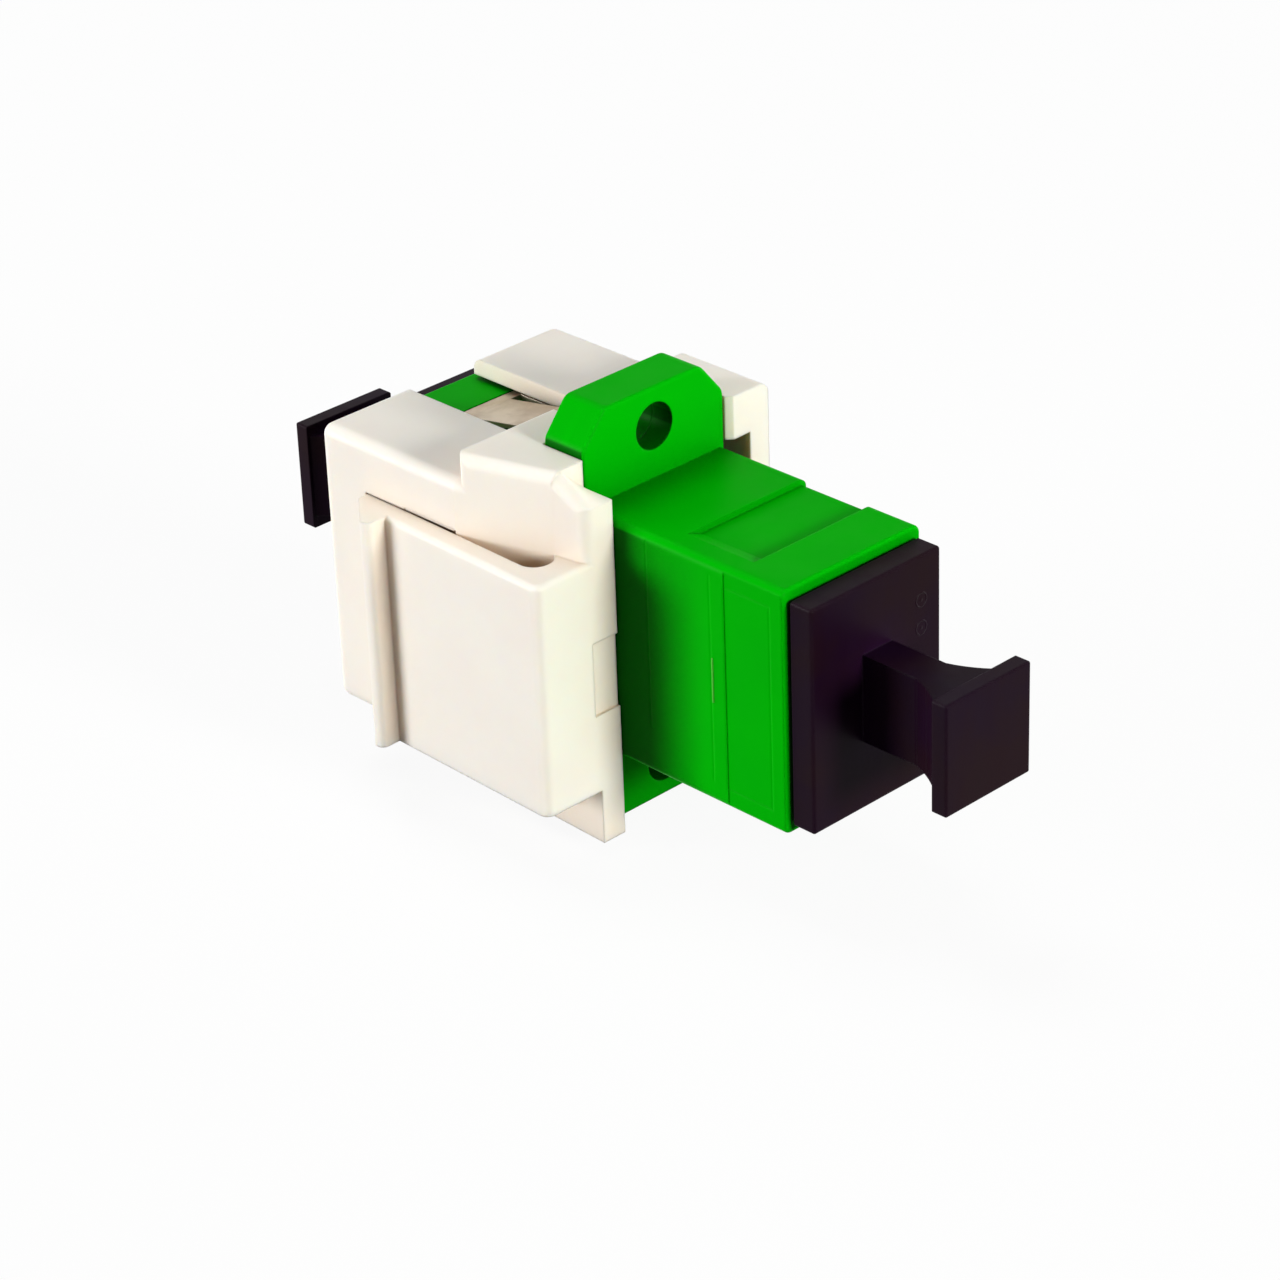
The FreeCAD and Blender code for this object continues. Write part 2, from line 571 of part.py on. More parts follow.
def latch_arm():
    """The sprung arm: rooted at the nose, free at the rear, with a catch rib."""
    root_y = NOSE_LEFT_Y + ARM_ROOT_INSET
    slot_arm = (-ARM_SLOT_SLANT, ARM_INNER_FRONT_Y)
    front_x = NOSE_REACH
    edges = [line_edge((RIB_REAR_X, ARM_INNER_REAR_Y), (RIB_REAR_X, RIB_SHOULDER_Y)),
             line_edge((RIB_REAR_X, RIB_SHOULDER_Y), (RIB_CREST_X, RIB_CREST_Y)),
             line_edge((RIB_CREST_X, RIB_CREST_Y), (ARM_REAR_X, RIB_CREST_Y)),
             line_edge((ARM_REAR_X, RIB_CREST_Y), (ARM_REAR_X, ARM_REAR_Y)),
             line_edge((ARM_REAR_X, ARM_REAR_Y), (front_x, ARM_FRONT_Y)),
             line_edge((front_x, ARM_FRONT_Y), (front_x, root_y)),
             line_edge((front_x, root_y), (0.0, root_y)),
             line_edge((0.0, root_y), (0.0, NECK_LEFT_Y)),
             bowed_edge((0.0, NECK_LEFT_Y), slot_arm, ARM_SLOT_BOW),
             line_edge(slot_arm, (RIB_REAR_X, ARM_INNER_REAR_Y))]
    face = Part.Face(Part.Wire(edges))
    arm = face.extrude(FreeCAD.Vector(0, 0, ARM_TOP_Z + SHELL_HALF_HEIGHT))
    arm.translate(FreeCAD.Vector(0, 0, -SHELL_HALF_HEIGHT))
    arm = arm.makeFillet(RIB_CREST_R, edges_where(arm, near(ARM_REAR_X), near(RIB_CREST_Y)))
    arm = arm.makeFillet(ARM_CORNER_R, edges_where(arm, near(front_x), near(ARM_FRONT_Y)))
    # The rounding runs on from the front edge round the corner and back to the rib.
    return arm.makeFillet(ARM_EDGE_R, edges_where(arm, near(front_x), z=near(ARM_TOP_Z)))


def lower_tab():
    """The tab that stands beside the lower flange ear."""
    root_z = -SHELL_HALF_HEIGHT + ROOT
    end_z = -FLANGE_HALF_HEIGHT + LOWER_TAB_SHORT
    outline = [(BAND_REAR_X, root_z), (BAND_REAR_X, end_z + LOWER_TAB_SLANT),
               (NOSE_REACH, end_z), (NOSE_REACH, root_z)]
    return side_prism(outline, -WINDOW_HALF_WIDTH - LOWER_TAB_WIDTH, -WINDOW_HALF_WIDTH)


def fixed_lug():
    """The wedge on the right side that goes under the opening's edge first."""
    rear_x = BAND_REAR_X - LUG_START + ROOT
    front_x = rear_x + LUG_LENGTH
    inner_y = SHELL_RIGHT_Y - ROOT
    outer_y = SHELL_RIGHT_Y + LUG_REACH
    outline = [(rear_x, inner_y), (rear_x + LUG_SLOPE, outer_y),
               (front_x, outer_y), (front_x, inner_y)]
    return plan_prism(outline, -LUG_HALF_HEIGHT, LUG_HALF_HEIGHT)


def mount_frame():
    """The ivory snap-in carrier that holds the adapter by its flange."""
    base_z = SHELL_HALF_HEIGHT - OVERCUT
    top_z = BAND_HALF_HEIGHT + OVERCUT
    rear_x = SHELL_REAR_X - OVERCUT
    front_x = NOSE_REACH + OVERCUT
    window_y = WINDOW_HALF_WIDTH
    shell = carrier_shell().cut(span(0.0, front_x, SHELL_LEFT_Y, -window_y, base_z, top_z))
    frame = shell.fuse(carrier_band()).fuse(nose_ramp(base_z))
    # The wall is set back behind the latch arm, a little higher past its free end.
    free_x = RIB_REAR_X - ARM_END_GAP
    for start_x, gap in ((free_x, SLIP_GAP), (free_x + ARM_COVER, ARM_TOP_GAP)):
        set_back = [(start_x, SHELL_LEFT_Y - OVERCUT), (start_x, ARM_WALL_Y),
                    (BAND_REAR_X - ARM_WALL_RUN_OUT, ARM_WALL_Y),
                    (BAND_REAR_X, SHELL_LEFT_Y), (BAND_REAR_X, SHELL_LEFT_Y - OVERCUT)]
        frame = frame.cut(plan_prism(set_back, -top_z, ARM_TOP_Z + gap))
    frame = frame.fuse(latch_arm()).fuse(lower_tab()).fuse(fixed_lug())
    # Hollow behind the bands, open at the rear, with a slot above and below.
    frame = frame.cut(span(rear_x, BAND_REAR_X, SHELL_LEFT_INNER_Y, SHELL_RIGHT_INNER_Y,
                           -SHELL_ROOF_Z, SHELL_ROOF_Z))
    frame = frame.cut(span(rear_x, BAND_REAR_X, -SLOT_LEFT_WIDTH, SLOT_RIGHT_WIDTH,
                           -top_z, top_z))
    # Window for the barrel, seat for the flange, and room inside the right wall.
    behind_x = BAND_REAR_X - OVERCUT
    frame = frame.cut(span(behind_x, front_x, -window_y, window_y,
                           -WINDOW_HALF_HEIGHT, WINDOW_HALF_HEIGHT))
    frame = frame.cut(span(FLANGE_SEAT_X, front_x, -window_y, window_y,
                           -FLANGE_HALF_HEIGHT - OVERCUT, FLANGE_HALF_HEIGHT + OVERCUT))
    ledge_x = SHELL_RIGHT_LEDGE - WINDOW_LEAD
    frame = frame.cut(plan_prism([(ledge_x, window_y),
                                  (ledge_x + 2.0 * WINDOW_LEAD, window_y - WINDOW_LEAD),
                                  (ledge_x + 2.0 * WINDOW_LEAD, window_y + 2.0 * WINDOW_LEAD)],
                                 -top_z, top_z))
    frame = frame.cut(span(behind_x, front_x, 0.0, SHELL_RIGHT_INNER_Y,
                           -SHELL_ROOF_Z, SHELL_ROOF_Z))
    # Screw reliefs behind the flange holes.
    for hole_z in (-HOLE_Z, HOLE_Z):
        frame = frame.cut(rod(SCREW_RELIEF_R, behind_x, FLANGE_SEAT_X + OVERCUT, hole_z))
    # Shallow inset in the front face.
    frame = frame.cut(span(NOSE_REACH - INSET_DEPTH, front_x, -window_y - INSET_WIDTH, 0.0,
                           INSET_BOTTOM_Z, INSET_TOP_Z))
    return frame


# -------------------------------------------------------------------- export

def write(name, shape):
    """Check one sub-part and write it to its own file."""
    whole = shape.removeSplitter()
    if not whole.isValid():
        raise ValueError(name + " is not a valid solid")
    if len(whole.Solids) != 1:
        raise ValueError(name + " is in " + str(len(whole.Solids)) + " pieces")
    whole.Solids[0].exportStep("parts/" + name + ".step")
    print(name, round(whole.Volume, 2), "mm3")


def main():
    os.makedirs("parts", exist_ok=True)
    front = front_housing()
    insert = front_latch_insert()
    cap = front_dust_cap()
    rear_cap = mirrored(cap)
    rear_cap.translate(ALONG_X * (CAP_GAP - REAR_CAP_GAP))
    write("mount_frame", mount_frame())
    write("front_housing", front)
    write("rear_housing", mirrored(front))
    write("panel_clip", panel_clip())
    write("front_latch_insert", insert)
    write("rear_latch_insert", mirrored(insert))
    write("alignment_sleeve", alignment_sleeve())
    write("front_dust_cap", cap)
    write("rear_dust_cap", rear_cap)


main()
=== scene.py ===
"""Looks, light and camera for the fibre adapter in its snap-in carrier."""
import math

import bmesh
import bpy
from mathutils import Matrix, Vector


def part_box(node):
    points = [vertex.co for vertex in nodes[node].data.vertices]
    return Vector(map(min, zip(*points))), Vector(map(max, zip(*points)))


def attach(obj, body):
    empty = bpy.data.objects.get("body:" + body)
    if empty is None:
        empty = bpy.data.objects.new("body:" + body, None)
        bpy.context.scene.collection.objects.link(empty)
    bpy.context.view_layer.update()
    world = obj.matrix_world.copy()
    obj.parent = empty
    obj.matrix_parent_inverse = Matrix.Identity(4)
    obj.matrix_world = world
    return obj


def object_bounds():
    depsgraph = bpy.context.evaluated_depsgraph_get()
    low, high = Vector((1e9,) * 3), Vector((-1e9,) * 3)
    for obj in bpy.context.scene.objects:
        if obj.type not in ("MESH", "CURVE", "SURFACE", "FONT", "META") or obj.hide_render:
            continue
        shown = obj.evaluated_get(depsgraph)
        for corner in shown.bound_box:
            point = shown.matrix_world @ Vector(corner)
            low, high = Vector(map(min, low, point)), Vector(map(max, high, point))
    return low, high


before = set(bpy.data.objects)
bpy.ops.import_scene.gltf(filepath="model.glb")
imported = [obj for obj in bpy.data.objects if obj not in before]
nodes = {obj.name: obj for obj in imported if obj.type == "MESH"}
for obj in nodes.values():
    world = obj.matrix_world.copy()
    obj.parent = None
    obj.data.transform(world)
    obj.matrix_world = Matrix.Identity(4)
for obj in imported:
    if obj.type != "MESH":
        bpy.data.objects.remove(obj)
cad_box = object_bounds()

MM = 0.001
WHITE = (1.0, 1.0, 1.0)

# Sockets of the Mix node, which holds one set for each kind of data.
MIX_FACTOR = 0
VECTOR_A, VECTOR_B, VECTOR_OUT = 4, 5, 1
COLOUR_A, COLOUR_B, COLOUR_OUT = 6, 7, 2


# ------------------------------------------------------------------ small tools

def opaque(rgb):
    return (*rgb, 1.0)


def srgb(r, g, b):
    """A linear colour from 0-255 display values, by the sRGB standard's curve."""
    out = []
    for value in (r, g, b):
        v = value / 255.0
        out.append(v / 12.92 if v <= 0.04045 else ((v + 0.055) / 1.055) ** 2.4)
    return opaque(out)


def add_object(name, data):
    """A new object in the scene, with this mesh, light or camera."""
    thing = bpy.data.objects.new(name, data)
    bpy.context.scene.collection.objects.link(thing)
    return thing


def add_mesh(name, points, faces):
    mesh = bpy.data.meshes.new(name)
    mesh.from_pydata(points, [], faces)
    return add_object(name, mesh)


class Graph:
    """A short way to write the node tree of a material or a world."""

    def __init__(self, owner):
        owner.use_nodes = True
        self.tree = owner.node_tree
        self.tree.nodes.clear()

    def add(self, kind, **settings):
        node = self.tree.nodes.new(kind)
        for key, value in settings.items():
            setattr(node, key, value)
        return node

    def link(self, a, b):
        self.tree.links.new(a, b)

    def feed(self, socket, value):
        """Sets a socket to a number or a tuple, or links another node's output to it."""
        if isinstance(value, (int, float, tuple)):
            socket.default_value = value
        else:
            self.link(value, socket)

    def span(self, value, lo, hi, to_lo, to_hi):
        """Maps value from lo..hi to to_lo..to_hi, clamped."""
        node = self.add("ShaderNodeMapRange")
        node.clamp = True
        for key, v in (("From Min", lo), ("From Max", hi), ("To Min", to_lo), ("To Max", to_hi)):
            node.inputs[key].default_value = v
        self.link(value, node.inputs["Value"])
        return node.outputs["Result"]

    def math(self, op, a, b=None):
        node = self.add("ShaderNodeMath", operation=op)
        self.feed(node.inputs[0], a)
        if b is not None:
            self.feed(node.inputs[1], b)
        return node.outputs[0]

    def absolute(self, value):
        """The value without its sign."""
        return self.math("ABSOLUTE", value)

    def distance(self, value, middle):
        """Distance of value from middle."""
        return self.absolute(self.math("SUBTRACT", value, middle))

    def length(self, a, b):
        """Length of the vector (a, b)."""
        return self.math("SQRT", self.math("ADD", self.math("MULTIPLY", a, a),
                                           self.math("MULTIPLY", b, b)))

    def line(self, away, half_width):
        """1 where away is nought, falling to 0 at half_width on either side."""
        return self.span(self.absolute(away), 0.0, half_width, 1.0, 0.0)

    def product(self, *values):
        """The values' product. For masks it is 1 where all of them are."""
        out = values[0]
        for value in values[1:]:
            out = self.math("MULTIPLY", out, value)
        return out

    def largest(self, *values):
        """The largest value. For masks it is 1 where any of them is."""
        out = values[0]
        for value in values[1:]:
            out = self.math("MAXIMUM", out, value)
        return out

    def axes(self, vector):
        node = self.add("ShaderNodeSeparateXYZ")
        self.link(vector, node.inputs["Vector"])
        return node.outputs["X"], node.outputs["Y"], node.outputs["Z"]

    def mix(self, factor, a, b):
        """The colour a, turned into b by factor."""
        node = self.add("ShaderNodeMix", data_type="RGBA", blend_type="MIX")
        for key, value in ((MIX_FACTOR, factor), (COLOUR_A, a), (COLOUR_B, b)):
            self.feed(node.inputs[key], value)
        return node.outputs[COLOUR_OUT]

    def blend(self, factor, a, b):
        """The shader a, turned into b by factor."""
        node = self.add("ShaderNodeMixShader")
        self.feed(node.inputs["Fac"], factor)
        self.link(a, node.inputs[1])
        self.link(b, node.inputs[2])
        return node.outputs["Shader"]

    def seen(self):
        """1 for what the camera sees, straight or in gloss."""
        path = self.add("ShaderNodeLightPath")
        return self.largest(path.outputs["Is Camera Ray"], path.outputs["Is Glossy Ray"])


class Paint(Graph):
    """A new material with one Principled shader; its noise and masks lie in object space."""

    EDGE_SAMPLES = 3
    EDGE_FULL = 0.82   # dot product of the true and rounded normals where an edge is in full

    def __init__(self, name):
        self.mat = bpy.data.materials.new(name)
        super().__init__(self.mat)
        self.out = self.add("ShaderNodeOutputMaterial")
        self.shader = self.add("ShaderNodeBsdfPrincipled")
        self.link(self.shader.outputs["BSDF"], self.out.inputs["Surface"])
        place = self.add("ShaderNodeTexCoord")
        self.coords = place.outputs["Object"]
        self.facing = place.outputs["Normal"]

    def set(self, socket, value):
        """Sets or links a socket of the Principled shader."""
        self.feed(self.shader.inputs[socket], value)

    def noise(self, scale, detail, rough, stretch=None):
        """Noise whose scale is in features per metre."""
        vector = self.coords
        if stretch:
            mapping = self.add("ShaderNodeMapping")
            mapping.inputs["Scale"].default_value = stretch
            self.link(vector, mapping.inputs["Vector"])
            vector = mapping.outputs["Vector"]
        node = self.add("ShaderNodeTexNoise")
        node.inputs["Scale"].default_value = scale
        node.inputs["Detail"].default_value = detail
        node.inputs["Roughness"].default_value = rough
        self.link(vector, node.inputs["Vector"])
        return node.outputs["Fac"]

    def edge_mask(self, radius, calm=None):
        """1 on edges within radius, and the rounded normal; where calm is 0 both are left off."""
        bevel = self.add("ShaderNodeBevel", samples=self.EDGE_SAMPLES)
        bevel.inputs["Radius"].default_value = radius
        geo = self.add("ShaderNodeNewGeometry")
        dot = self.add("ShaderNodeVectorMath", operation="DOT_PRODUCT")
        self.link(bevel.outputs["Normal"], dot.inputs[0])
        self.link(geo.outputs["Normal"], dot.inputs[1])
        edges = self.span(dot.outputs["Value"], 1.0, self.EDGE_FULL, 0.0, 1.0)
        if calm is None:
            return edges, bevel.outputs["Normal"]
        normal = self.add("ShaderNodeMix", data_type="VECTOR")
        self.link(calm, normal.inputs[MIX_FACTOR])
        self.link(geo.outputs["Normal"], normal.inputs[VECTOR_A])
        self.link(bevel.outputs["Normal"], normal.inputs[VECTOR_B])
        return self.product(edges, calm), normal.outputs[VECTOR_OUT]

    def openness(self, reach, samples):
        """1 where nothing stands within reach of the surface, less in corners."""
        node = self.add("ShaderNodeAmbientOcclusion", samples=samples)
        node.inputs["Distance"].default_value = reach
        return node.outputs["AO"]

    def bump(self, height, strength, distance, normal):
        node = self.add("ShaderNodeBump")
        node.inputs["Strength"].default_value = strength
        node.inputs["Distance"].default_value = distance
        self.link(height, node.inputs["Height"])
        self.link(normal, node.inputs["Normal"])
        return node.outputs["Normal"]


# Noise keeps near its middle value, so each use of it spreads a part of its range.
MOTTLE_NOISE = {"scale": 260.0, "detail": 3.0, "rough": 0.55}
MOTTLE_SPAN = (0.35, 0.65)
GRAIN_NOISE = {"scale": 5200.0, "detail": 4.0, "rough": 0.6}
GRAIN_SHARE = 0.35
GRAIN_DEPTH = 0.04 * MM
FLOW_NOISE = {"scale": 900.0, "detail": 2.0, "rough": 0.5, "stretch": (1.0, 1.0, 0.25)}
FLOW_SPAN = (0.3, 0.7)
SMOOTHER, ROUGHER = 0.05, 0.06   # how far the flow takes the roughness down and up
EDGE_POLISH = -0.06              # what a rubbed edge adds to the roughness
CORNER_SAMPLES = 3
# The wide painted shade: a longer reach darkens broad areas near walls, standing in for a cast
# shadow.
WIDE_CORNER_REACH = 6.0 * MM
WIDE_CORNER_SAMPLES = 4
WIDE_CORNER_SPAN = (0.70, 0.96)
WIDE_CORNER_SHADE = 0.85


def plastic(name, colour, tint, rubbed_and_highlit_edge, corner_shade_colour, rough, edge=0.12 * MM, grain=0.05, mottle=0.5,
            spec=0.5, painted_shade_share=0.35, reach=1.6 * MM, ao=(0.15, 0.85), rub_and_highlight=0.55, calm=None,
            relief=None, wide_shade_mask=None):
    """Injection-moulded plastic: faint mottle, fine grain, lighter edges that are partly rubbed
    wear and partly a painted highlight, and painted shade in the corners.

    tint comes in by up to mottle; the edge colour, partly wear and partly a painted highlight,
    by up to its share; and the corner colour, a painted shade, by up to its share, where the
    openness within reach falls over the span ao. calm(g) is 0 where the painted edge highlight
    and corner shade are left off, relief(g) gives a height and its depth, and the wide shade mask
    is 1 where a wider painted shade, standing in for a cast shadow, darkens too.
    """
    g = Paint(name)
    quiet = calm(g) if calm else None
    edges, soft = g.edge_mask(edge, quiet)
    if relief is not None:
        height, depth = relief(g)
        soft = g.bump(height, 1.0, depth, soft)
    broad = g.noise(**MOTTLE_NOISE)
    fine = g.noise(**GRAIN_NOISE)
    flow = g.noise(**FLOW_NOISE)
    base = g.mix(g.span(broad, *MOTTLE_SPAN, 0.0, mottle), colour, tint)
    # Edges turn lighter: partly rubbed wear, partly a painted highlight along the rims.
    base = g.mix(g.product(edges, rub_and_highlight), base, rubbed_and_highlit_edge)
    # Painted shade: corners and crevices darken towards the corner colour as the openness falls.
    shade = g.span(g.openness(reach, CORNER_SAMPLES), *ao, painted_shade_share, 0.0)
    if quiet is not None:
        shade = g.product(shade, quiet)
    # A wider painted shade where the mask says, standing in for the carrier's cast shadow.
    if wide_shade_mask is not None:
        wide = g.openness(WIDE_CORNER_REACH, WIDE_CORNER_SAMPLES)
        corner = g.span(wide, *WIDE_CORNER_SPAN, WIDE_CORNER_SHADE, 0.0)
        shade = g.largest(shade, g.product(corner, wide_shade_mask(g)))
    g.set("Base Color", g.mix(shade, base, corner_shade_colour))
    g.set("Roughness", g.math("ADD", g.span(flow, *FLOW_SPAN, rough - SMOOTHER, rough + ROUGHER),
                              g.product(edges, EDGE_POLISH)))
    g.set("Specular IOR Level", spec)
    height = g.math("ADD", g.product(fine, GRAIN_SHARE), flow)
    g.set("Normal", g.bump(height, grain, GRAIN_DEPTH, soft))
    return g


STEEL_EDGE = 0.06 * MM
STEEL_RUB = 0.6
STEEL_LINES = {"scale": 9000.0, "detail": 3.0, "rough": 0.6, "stretch": (0.06, 1.0, 1.0)}
STEEL_LINE_STRENGTH = 0.25
STEEL_LINE_DEPTH = 0.02 * MM
STAIN_NOISE = {"scale": 420.0, "detail": 4.0, "rough": 0.6}
STAIN_SPAN = (0.4, 0.62)
STAIN_SHARE = 0.7
DULL_SPAN = (0.3, 0.7)
STEEL_ROUGHNESS = (0.38, 0.54)


def steel(name):
    """Rolled spring sheet: fine lines along the strip and dull stains."""
    g = Paint(name)
    edges, soft = g.edge_mask(STEEL_EDGE)
    lines = g.noise(**STEEL_LINES)
    stain = g.noise(**STAIN_NOISE)
    base = g.mix(g.span(stain, *STAIN_SPAN, 0.0, STAIN_SHARE),
                 srgb(190, 176, 158), srgb(150, 134, 114))
    g.set("Base Color", g.mix(g.product(edges, STEEL_RUB), base, srgb(225, 215, 200)))
    g.set("Metallic", 1.0)
    g.set("Roughness", g.span(stain, *DULL_SPAN, *STEEL_ROUGHNESS))
    g.set("Normal", g.bump(lines, STEEL_LINE_STRENGTH, STEEL_LINE_DEPTH, soft))
    return g


# ---------------------------------------------- masks and relief on the mouldings

# Places along X are distances from the middle of the two halves, or of the two caps.
MIDDLE_X = (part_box("front_housing")[0][0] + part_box("rear_housing")[1][0]) / 2.0
CAPS_MIDDLE_X = (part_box("rear_dust_cap")[0][0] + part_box("front_dust_cap")[1][0]) / 2.0
LINE_HALF = 0.09 * MM

HOLE_HALF_PITCH = 9.0 * MM
HOLE_FADE = 0.2 * MM
HOLE_WALL = 1.15 * MM             # a radius that takes in a flange hole's wall
HOLE_RIM = 1.3 * MM               # and one that takes in its rim too
HOLE_WALL_ON = (0.2, 0.4)         # how far a face may look along X and still be a hole's wall

SIDE_ON = (0.9, 0.97)             # how squarely a face looks along Y to be a side face
NOSE_FADE = (8.0 * MM, 9.5 * MM)
JOINT_FADE = (0.12 * MM, 0.3 * MM)
SIDE_STEP = 10.28 * MM
SIDE_STEP_FADE = (0.1 * MM, 0.2 * MM)

END_PANEL_MIDDLE, END_PANEL_HALF_LENGTH = 11.70 * MM, 1.43 * MM
END_PANEL_HALF_HEIGHT = 5.3 * MM
NOSE_LINE = 9.38 * MM
NOSE_LINE_Z, NOSE_LINE_ENDS = 0.25 * MM, (5.35 * MM, 5.5 * MM)
ROOT_LINE = 5.28 * MM
ROOT_LINE_END = (-3.9 * MM, -3.7 * MM)
PANEL_LINE_DEPTH = 0.02 * MM

RIDGES = (18.70 * MM, 19.65 * MM, 20.35 * MM)
RIDGE_SIDE_ON = (0.15, 0.35)
RIDGE_ENDS = (2.5 * MM, 2.6 * MM)
PLATE_FACE = 15.41 * MM
PLATE_FADE = (0.1 * MM, 0.2 * MM)
END_ON = (0.95, 0.99)             # how squarely a face looks along X to be an end face
RING_Y = 3.0 * MM
RING_HEIGHTS = (2.1 * MM, 3.55 * MM)
RING_RADIUS, RING_HALF_WIDTH = 0.35 * MM, 0.06 * MM
RING_DOT = 0.12 * MM
CAP_MARK_HEIGHT = 0.03 * MM


def side_faces(g):
    """1 on faces that look along Y."""
    return g.span(g.absolute(g.axes(g.facing)[1]), *SIDE_ON, 0.0, 1.0)


def in_holes(g, radius):
    """1 within radius of either flange hole's axis."""
    _, y, z = g.axes(g.coords)
    from_axis = g.length(y, g.distance(g.absolute(z), HOLE_HALF_PITCH))
    return g.span(from_axis, radius, radius + HOLE_FADE, 1.0, 0.0)


def barrel_shadow_mask(g):
    """1 where a wide painted shadow falls: side faces up to the nose, and flange holes' walls."""
    x, _, _ = g.axes(g.coords)
    side = side_faces(g)
    body = g.span(g.distance(x, MIDDLE_X), *NOSE_FADE, 1.0, 0.0)
    across = g.span(g.absolute(g.axes(g.facing)[0]), *HOLE_WALL_ON, 1.0, 0.0)
    return g.largest(g.product(side, body), g.product(in_holes(g, HOLE_WALL), across))


def barrel_calm(g):
    """0 at the joint of the two halves and at the sides' shallow step, but 1 in the holes."""
    x, _, _ = g.axes(g.coords)
    along = g.distance(x, MIDDLE_X)
    joint = g.span(along, *JOINT_FADE, 0.0, 1.0)
    step = g.span(g.distance(along, SIDE_STEP), *SIDE_STEP_FADE, 0.0, 1.0)
    return g.largest(g.product(joint, step), in_holes(g, HOLE_RIM))


def barrel_lines(g):
    """Faint panel lines that the mould leaves on both barrels' side faces."""
    x, _, z = g.axes(g.coords)
    side = side_faces(g)
    along = g.distance(x, MIDDLE_X)
    end_panel = g.largest(
        g.math("SUBTRACT", g.distance(along, END_PANEL_MIDDLE), END_PANEL_HALF_LENGTH),
        g.math("SUBTRACT", g.absolute(z), END_PANEL_HALF_HEIGHT))
    nose = g.product(g.line(g.distance(along, NOSE_LINE), LINE_HALF),
                  g.span(g.distance(z, NOSE_LINE_Z), *NOSE_LINE_ENDS, 1.0, 0.0))
    root = g.product(g.line(g.distance(along, ROOT_LINE), LINE_HALF),
                  g.span(z, *ROOT_LINE_END, 0.0, 1.0))
    lines = g.largest(g.line(end_panel, LINE_HALF), nose, root)
    return g.product(g.product(lines, side), -1.0), PANEL_LINE_DEPTH


def cap_marks(g):
    """Fine ridges across the flare of the pull tab, and ejector rings on the cover plate."""
    x, y, z = g.axes(g.coords)
    nx, ny, _ = g.axes(g.facing)
    out = g.distance(x, CAPS_MIDDLE_X)
    side = g.span(g.absolute(ny), *RIDGE_SIDE_ON, 0.0, 1.0)
    inner = g.span(g.absolute(z), *RIDGE_ENDS, 1.0, 0.0)
    ridges = g.largest(*[g.line(g.distance(out, place), LINE_HALF) for place in RIDGES])
    end_on = g.span(g.absolute(nx), *END_ON, 0.0, 1.0)
    plate = g.span(g.distance(out, PLATE_FACE), *PLATE_FADE, 1.0, 0.0)
    rings = []
    for high in RING_HEIGHTS:
        from_middle = g.length(g.math("SUBTRACT", y, RING_Y), g.math("SUBTRACT", z, high))
        rings.append(g.line(g.math("SUBTRACT", from_middle, RING_RADIUS), RING_HALF_WIDTH))
        rings.append(g.line(from_middle, RING_DOT))
    marks = g.largest(g.product(ridges, side, inner), g.product(g.largest(*rings), end_on, plate))
    return marks, CAP_MARK_HEIGHT


# -------------------------------------------------------------------- materials

# Ivory: its tan corner colour is painted shade, warm like the shade in translucent plastic.
ivory = plastic("ivory_plastic", srgb(247, 241, 231), tint=srgb(244, 235, 226),
                rubbed_and_highlit_edge=srgb(252, 250, 245), corner_shade_colour=srgb(212, 176, 134), rough=0.42,
                edge=0.16 * MM, spec=0.22, painted_shade_share=0.65, reach=4.0 * MM, ao=(0.05, 0.9), rub_and_highlight=0.2)
ivory.set("Subsurface Weight", 0.35)
ivory.set("Subsurface Radius", (1.0, 0.75, 0.5))
ivory.set("Subsurface Scale", 0.8 * MM)
# Green: the near-black corner colour is painted shade, and a wide painted shadow darkens the sides
# near the carrier and the holes.
green = plastic("green_plastic", srgb(0, 177, 3), tint=srgb(0, 169, 6),
                rubbed_and_highlit_edge=srgb(16, 214, 20), corner_shade_colour=srgb(0, 18, 3), rough=0.36,
                edge=0.16 * MM, spec=0.012, painted_shade_share=0.9, reach=4.0 * MM, ao=(0.1, 0.78),
                calm=barrel_calm, relief=barrel_lines, wide_shade_mask=barrel_shadow_mask)
# The bead's lighter green is partly the whitened plastic of a trimmed gate and partly a painted
# highlight.
gate_mark = plastic("gate_mark", srgb(80, 200, 56), tint=srgb(60, 190, 40),
                    rubbed_and_highlit_edge=srgb(130, 220, 100), corner_shade_colour=srgb(10, 80, 10), rough=0.4, spec=0.05)
# Dark: its corner colour is a lighter purple than the base, painted light that lifts the shaded
# corners.
dark = plastic("dark_plastic", srgb(23, 7, 23), tint=srgb(27, 11, 14),
               rubbed_and_highlit_edge=srgb(46, 34, 44), corner_shade_colour=srgb(42, 13, 54), rough=0.40, grain=0.10,
               mottle=0.8, spec=0.036, painted_shade_share=0.6, reach=3.0 * MM, relief=cap_marks)
insert = plastic("insert_plastic", srgb(222, 224, 222), tint=srgb(212, 216, 214),
                 rubbed_and_highlit_edge=srgb(240, 240, 238), corner_shade_colour=srgb(150, 152, 150), rough=0.4,
                 mottle=0.4, spec=0.25)
ceramic = plastic("ceramic", srgb(238, 238, 232), tint=srgb(230, 230, 222),
                  rubbed_and_highlit_edge=srgb(248, 248, 245), corner_shade_colour=srgb(180, 180, 172), rough=0.22,
                  grain=0.02, mottle=0.3, spec=0.4)
metal = steel("clip_steel")

FINISH = {
    "mount_frame": ivory, "front_housing": green, "rear_housing": green,
    "panel_clip": metal, "front_latch_insert": insert, "rear_latch_insert": insert,
    "alignment_sleeve": ceramic, "front_dust_cap": dark, "rear_dust_cap": dark,
}
for node_name, paint in FINISH.items():
    mesh = nodes[node_name].data
    mesh.materials.clear()
    mesh.materials.append(paint.mat)


# -------------------------------------------------------------- the fine pieces

BEAD_SEGMENTS, BEAD_STEPS = 24, 14    # round the bead, and from pole to pole
LEDGE_ROUND_STEPS = 3
ROUND_PROFILE = 0.5


